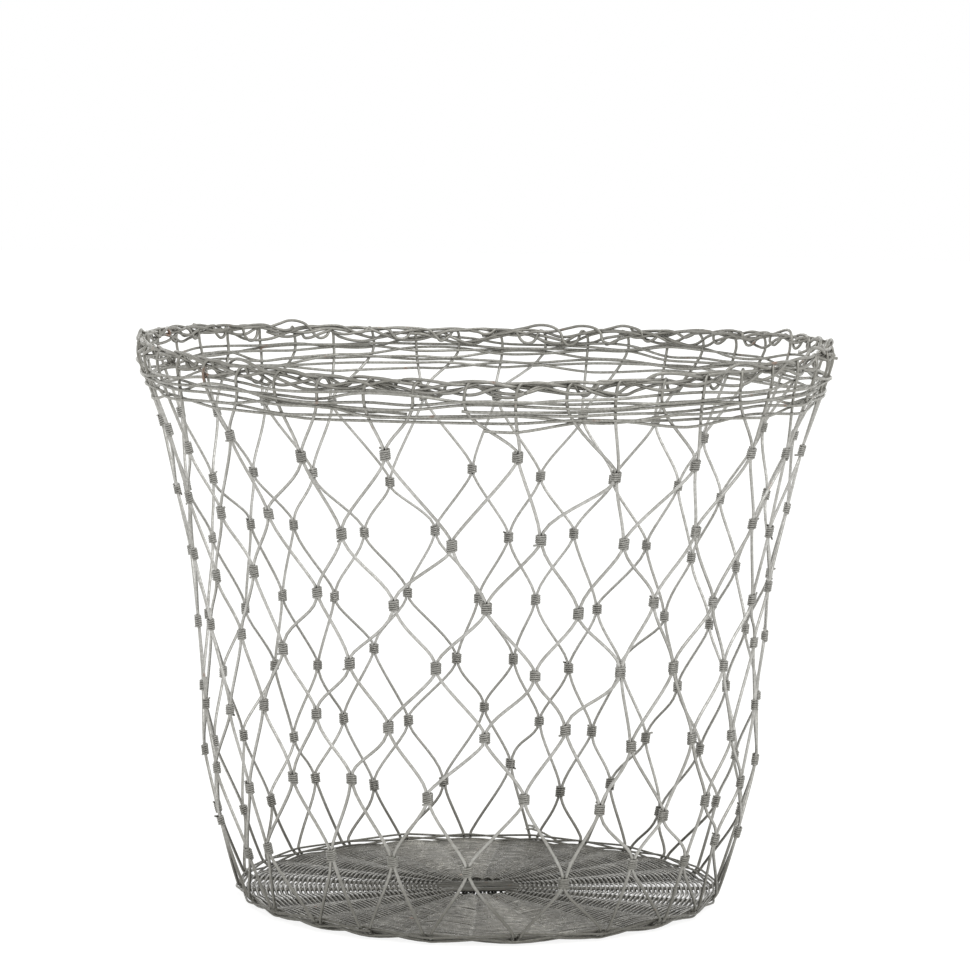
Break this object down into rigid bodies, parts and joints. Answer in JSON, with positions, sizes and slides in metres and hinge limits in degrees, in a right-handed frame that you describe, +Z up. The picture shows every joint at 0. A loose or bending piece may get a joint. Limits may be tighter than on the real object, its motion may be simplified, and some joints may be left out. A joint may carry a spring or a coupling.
{
  "type": "wire basket",
  "caption": "Round open wire basket with a flared wall of tied diamond net, a densely woven flat base and a rolled wire border with fine weavers below it.",
  "frame": {"origin": "middle of the underside of the woven base, on the floor", "axes": "+Z up through the mouth, -Y towards the side that faces the viewer, +X to the viewer's right"},
  "size_m": [0.3404, 0.3406, 0.2742],
  "materials": {
    "stake_wire": "dull galvanised wire",
    "tie_wire": "dull galvanised wire, tightly wound",
    "weaver_wire": "dull galvanised fine wire"
  },
  "bodies": {
    "root": {"stake_01": "stake_wire", "stake_02": "stake_wire", "stake_03": "stake_wire", "stake_04": "stake_wire", "stake_05": "stake_wire", "stake_06": "stake_wire", "stake_07": "stake_wire", "stake_08": "stake_wire", "stake_09": "stake_wire", "stake_10": "stake_wire", "stake_11": "stake_wire", "stake_12": "stake_wire", "stake_13": "stake_wire", "stake_14": "stake_wire", "stake_15": "stake_wire", "stake_16": "stake_wire", "stake_17": "stake_wire", "stake_18": "stake_wire", "stake_19": "stake_wire", "stake_20": "stake_wire", "stake_21": "stake_wire", "stake_22": "stake_wire", "stake_23": "stake_wire", "tie_row_1": "tie_wire", "tie_row_2": "tie_wire", "tie_row_3": "tie_wire", "tie_row_4": "tie_wire", "tie_row_5": "tie_wire", "tie_row_6": "tie_wire", "tie_row_7": "tie_wire", "base_weave_inner": "weaver_wire", "base_weave_middle": "weaver_wire", "base_weave_outer": "weaver_wire", "foot_weaver": "weaver_wire", "rim_weaver_lower": "weaver_wire", "rim_weaver_upper": "weaver_wire"}
  },
  "joints": []
}
